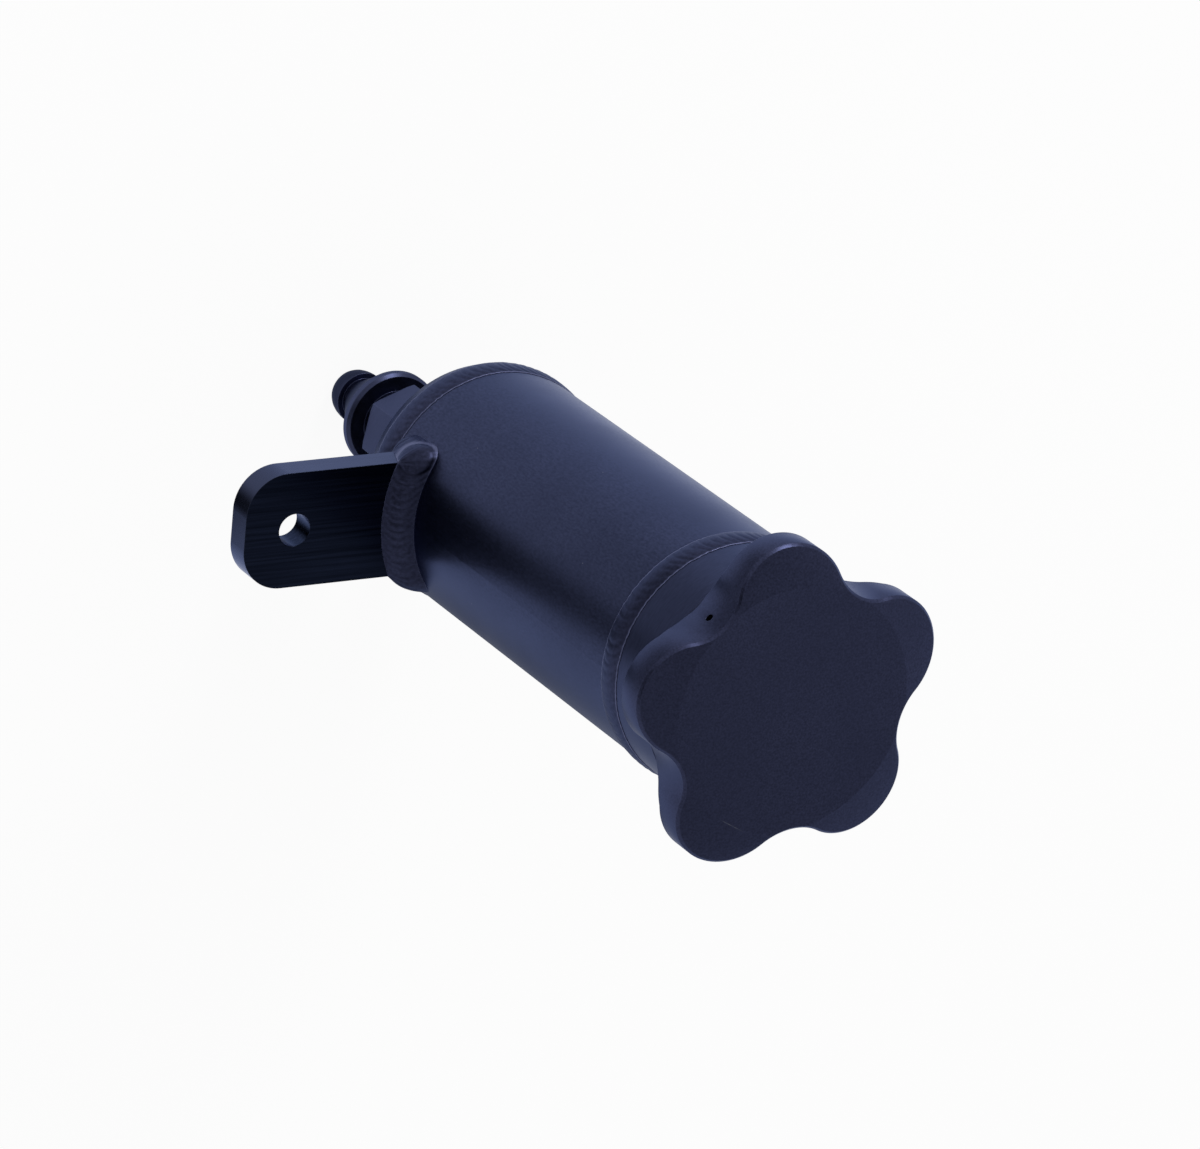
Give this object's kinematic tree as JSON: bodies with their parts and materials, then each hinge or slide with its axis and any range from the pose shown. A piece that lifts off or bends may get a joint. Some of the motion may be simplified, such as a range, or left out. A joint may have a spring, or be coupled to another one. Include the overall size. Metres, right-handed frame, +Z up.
{
  "type": "power_steering_reservoir",
  "caption": "Black anodised aluminium power steering reservoir: welded tube tank, bolt-on tab, push-on hose adapters, vented lobed screw cap",
  "frame": {"origin": "the middle of the bolt hole in the mounting tab, halfway through the tab", "axes": "+Z up along the tank axis, +X from the tank axis out through the bolt hole, +Y completes a right-handed frame"},
  "size_m": [0.1403, 0.0973, 0.2511],
  "materials": {
    "anodised_tube": "satin black anodised, drawn tube",
    "anodised_turned": "satin black anodised, fine turned face",
    "anodised_plate": "satin black anodised over a brushed plate",
    "anodised_weld": "black anodised rippled weld bead",
    "anodised_gloss": "bright-dipped black anodised, turned",
    "seal_rubber": "moulded nitrile O-ring"
  },
  "bodies": {
    "tank": {"tank_tube": "anodised_tube", "bottom_plate": "anodised_turned", "filler_neck": "anodised_turned", "bottom_weld": "anodised_weld", "neck_weld": "anodised_weld", "mounting_tab": "anodised_plate", "tab_weld": "anodised_weld", "feed_adapter": "anodised_gloss", "feed_o_ring": "seal_rubber", "return_adapter": "anodised_gloss", "return_o_ring": "seal_rubber"},
    "cap_seal": {"cap_o_ring": "seal_rubber"},
    "cap": {"screw_cap": "anodised_turned"}
  },
  "joints": [
    {"name": "cap_lift", "type": "slide", "parent": "tank", "child": "cap_seal", "axis": [0, 0, 1], "range_m": [0, 0.00955]},
    {"name": "cap_turn", "type": "hinge", "parent": "cap_seal", "child": "cap", "pos_m": [-0.0758, 0, 0], "axis": [0, 0, 1], "range_deg": [0, 1080]}
  ],
  "couplings": [
    {"joint": "cap_lift", "follows": "cap_turn", "m_per_rad": 0.00050532}
  ]
}
